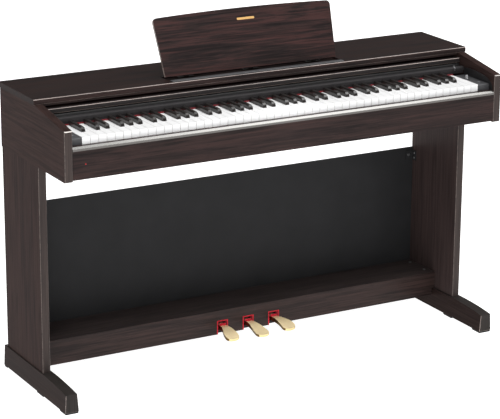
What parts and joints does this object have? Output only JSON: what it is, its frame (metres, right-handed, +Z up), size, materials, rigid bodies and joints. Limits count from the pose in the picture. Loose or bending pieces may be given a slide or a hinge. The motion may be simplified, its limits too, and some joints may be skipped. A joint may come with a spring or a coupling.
{
  "type": "digital piano",
  "caption": "Digital piano in a dark wood-grain case on a panel stand, with a full-length keyboard, sliding key cover, folding music rest and brass pedals.",
  "frame": {"origin": "on the floor, under the middle of the bounding box", "axes": "+X to the player's right, +Y away from the player, +Z up"},
  "size_m": [1.357, 0.422, 0.975],
  "materials": {
    "rosewood": "dark red-brown wood-grain film, satin",
    "dark_board": "charcoal painted fibreboard, satin",
    "dark_plastic": "dark grey moulded plastic, fine texture",
    "grey_plastic": "mid grey moulded plastic",
    "white_key": "ivory white moulded keys",
    "black_key": "black moulded keys, semi-gloss",
    "satin_trim": "satin aluminium strip",
    "red_lamp": "red translucent lens",
    "steel": "black and zinc finished steel fittings",
    "circuit_board": "green laminate with black components",
    "speaker_cone": "black paper cone and steel basket",
    "red_felt": "red wool felt",
    "pad_rubber": "black rubber-faced glides",
    "pedal_brass": "polished brass"
  },
  "bodies": {
    "case": {"back_board": "dark_board", "back_board_brackets": "steel", "case_back": "dark_board", "cover_guides": "dark_plastic", "fallboard": "dark_plastic", "foot_pads": "pad_rubber", "headphone_box": "dark_plastic", "key_bed": "rosewood", "key_blocks": "dark_plastic", "key_frame": "dark_plastic", "key_slip": "rosewood", "key_slip_trim": "satin_trim", "left_case_side": "rosewood", "left_foot": "rosewood", "left_side_panel": "rosewood", "main_board": "circuit_board", "music_ledge": "dark_plastic", "name_felt": "red_felt", "pedal_box": "rosewood", "pedal_box_floor": "dark_board", "pedal_chassis": "steel", "pedal_felts": "red_felt", "pedal_pivot_rod": "steel", "power_lamp": "red_lamp", "rest_hinge_bases": "steel", "right_case_side": "rosewood", "right_foot": "rosewood", "right_side_panel": "rosewood", "socket_box": "dark_plastic", "speaker_grilles": "dark_plastic", "speakers": "speaker_cone", "stand_screws": "steel", "top_lid": "rosewood"},
    "cover": {"key_cover": "rosewood", "key_cover_lip": "rosewood"},
    "rest": {"music_rest": "rosewood", "rest_hinge_leaves": "steel"},
    "left_rest_stay": {"left_stay": "steel"},
    "right_rest_stay": {"right_stay": "steel"},
    "left_pedal_lever": {"left_pedal": "pedal_brass"},
    "middle_pedal_lever": {"middle_pedal": "pedal_brass"},
    "right_pedal_lever": {"right_pedal": "pedal_brass"},
    "volume_slider": {"volume_knob": "grey_plastic"},
    "power_switch": {"power_button": "grey_plastic"},
    "song_switch": {"song_button": "grey_plastic"},
    "voice_switch": {"voice_button": "grey_plastic"},
    "metronome_switch": {"metronome_button": "grey_plastic"},
    "record_switch": {"record_button": "grey_plastic"},
    "keys_a_group": {"keys_a": "white_key"},
    "keys_a_sharp_group": {"keys_a_sharp": "black_key"},
    "keys_b_group": {"keys_b": "white_key"},
    "keys_c_group": {"keys_c": "white_key"},
    "keys_c_sharp_group": {"keys_c_sharp": "black_key"},
    "keys_d_group": {"keys_d": "white_key"},
    "keys_d_sharp_group": {"keys_d_sharp": "black_key"},
    "keys_e_group": {"keys_e": "white_key"},
    "keys_f_group": {"keys_f": "white_key"},
    "keys_f_sharp_group": {"keys_f_sharp": "black_key"},
    "keys_g_group": {"keys_g": "white_key"},
    "keys_g_sharp_group": {"keys_g_sharp": "black_key"}
  },
  "joints": [
    {"name": "key_cover_slide", "type": "hinge", "parent": "case", "child": "cover", "pos_m": [0, 0.052, -0.295], "axis": [1, 0, 0], "range_deg": [0, 9]},
    {"name": "music_rest_fold", "type": "hinge", "parent": "case", "child": "rest", "pos_m": [0, 0.031, 0.817], "axis": [1, 0, 0], "range_deg": [-69.2, 0]},
    {"name": "left_stay_fold", "type": "hinge", "parent": "rest", "child": "left_rest_stay", "pos_m": [-0.15, 0.05137, 0.87345], "axis": [1, 0, 0], "range_deg": [0, 124.3]},
    {"name": "right_stay_fold", "type": "hinge", "parent": "rest", "child": "right_rest_stay", "pos_m": [0.15, 0.05137, 0.87345], "axis": [1, 0, 0], "range_deg": [0, 124.3]},
    {"name": "left_pedal_press", "type": "hinge", "parent": "case", "child": "left_pedal_lever", "pos_m": [-0.0745, 0.13, 0.072], "axis": [1, 0, 0], "range_deg": [0, 6], "stiffness_Nm_per_rad": 12, "springref_deg": -17.19},
    {"name": "middle_pedal_press", "type": "hinge", "parent": "case", "child": "middle_pedal_lever", "pos_m": [0.009, 0.13, 0.072], "axis": [1, 0, 0], "range_deg": [0, 6], "stiffness_Nm_per_rad": 12, "springref_deg": -17.19},
    {"name": "right_pedal_press", "type": "hinge", "parent": "case", "child": "right_pedal_lever", "pos_m": [0.0925, 0.13, 0.072], "axis": [1, 0, 0], "range_deg": [0, 6], "stiffness_Nm_per_rad": 12, "springref_deg": -17.19},
    {"name": "volume_slide", "type": "slide", "parent": "case", "child": "volume_slider", "axis": [0, 1, 0], "range_m": [-0.012, 0.012]},
    {"name": "power_press", "type": "slide", "parent": "case", "child": "power_switch", "axis": [0, 0, -1], "range_m": [0, 0.0015], "stiffness_N_per_m": 400, "springref_m": -0.001},
    {"name": "song_press", "type": "slide", "parent": "case", "child": "song_switch", "axis": [0, 0, -1], "range_m": [0, 0.0012], "stiffness_N_per_m": 400, "springref_m": -0.001},
    {"name": "voice_press", "type": "slide", "parent": "case", "child": "voice_switch", "axis": [0, 0, -1], "range_m": [0, 0.0012], "stiffness_N_per_m": 400, "springref_m": -0.001},
    {"name": "metronome_press", "type": "slide", "parent": "case", "child": "metronome_switch", "axis": [0, 0, -1], "range_m": [0, 0.0012], "stiffness_N_per_m": 400, "springref_m": -0.001},
    {"name": "record_press", "type": "slide", "parent": "case", "child": "record_switch", "axis": [0, 0, -1], "range_m": [0, 0.0012], "stiffness_N_per_m": 400, "springref_m": -0.001},
    {"name": "keys_a_press", "type": "hinge", "parent": "case", "child": "keys_a_group", "pos_m": [0, 0.015, 0.733], "axis": [1, 0, 0], "range_deg": [0, 2.8], "stiffness_Nm_per_rad": 5, "springref_deg": -20.05},
    {"name": "keys_a_sharp_press", "type": "hinge", "parent": "case", "child": "keys_a_sharp_group", "pos_m": [0, 0.015, 0.733], "axis": [1, 0, 0], "range_deg": [0, 2.8], "stiffness_Nm_per_rad": 5, "springref_deg": -20.05},
    {"name": "keys_b_press", "type": "hinge", "parent": "case", "child": "keys_b_group", "pos_m": [0, 0.015, 0.733], "axis": [1, 0, 0], "range_deg": [0, 2.8], "stiffness_Nm_per_rad": 5, "springref_deg": -20.05},
    {"name": "keys_c_press", "type": "hinge", "parent": "case", "child": "keys_c_group", "pos_m": [0, 0.015, 0.733], "axis": [1, 0, 0], "range_deg": [0, 2.8], "stiffness_Nm_per_rad": 5, "springref_deg": -20.05},
    {"name": "keys_c_sharp_press", "type": "hinge", "parent": "case", "child": "keys_c_sharp_group", "pos_m": [0, 0.015, 0.733], "axis": [1, 0, 0], "range_deg": [0, 2.8], "stiffness_Nm_per_rad": 5, "springref_deg": -20.05},
    {"name": "keys_d_press", "type": "hinge", "parent": "case", "child": "keys_d_group", "pos_m": [0, 0.015, 0.733], "axis": [1, 0, 0], "range_deg": [0, 2.8], "stiffness_Nm_per_rad": 5, "springref_deg": -20.05},
    {"name": "keys_d_sharp_press", "type": "hinge", "parent": "case", "child": "keys_d_sharp_group", "pos_m": [0, 0.015, 0.733], "axis": [1, 0, 0], "range_deg": [0, 2.8], "stiffness_Nm_per_rad": 5, "springref_deg": -20.05},
    {"name": "keys_e_press", "type": "hinge", "parent": "case", "child": "keys_e_group", "pos_m": [0, 0.015, 0.733], "axis": [1, 0, 0], "range_deg": [0, 2.8], "stiffness_Nm_per_rad": 5, "springref_deg": -20.05},
    {"name": "keys_f_press", "type": "hinge", "parent": "case", "child": "keys_f_group", "pos_m": [0, 0.015, 0.733], "axis": [1, 0, 0], "range_deg": [0, 2.8], "stiffness_Nm_per_rad": 5, "springref_deg": -20.05},
    {"name": "keys_f_sharp_press", "type": "hinge", "parent": "case", "child": "keys_f_sharp_group", "pos_m": [0, 0.015, 0.733], "axis": [1, 0, 0], "range_deg": [0, 2.8], "stiffness_Nm_per_rad": 5, "springref_deg": -20.05},
    {"name": "keys_g_press", "type": "hinge", "parent": "case", "child": "keys_g_group", "pos_m": [0, 0.015, 0.733], "axis": [1, 0, 0], "range_deg": [0, 2.8], "stiffness_Nm_per_rad": 5, "springref_deg": -20.05},
    {"name": "keys_g_sharp_press", "type": "hinge", "parent": "case", "child": "keys_g_sharp_group", "pos_m": [0, 0.015, 0.733], "axis": [1, 0, 0], "range_deg": [0, 2.8], "stiffness_Nm_per_rad": 5, "springref_deg": -20.05}
  ],
  "couplings": [
    {"joint": "left_stay_fold", "follows": "music_rest_fold", "ratio": -1.7948},
    {"joint": "right_stay_fold", "follows": "music_rest_fold", "ratio": -1.7948}
  ]
}
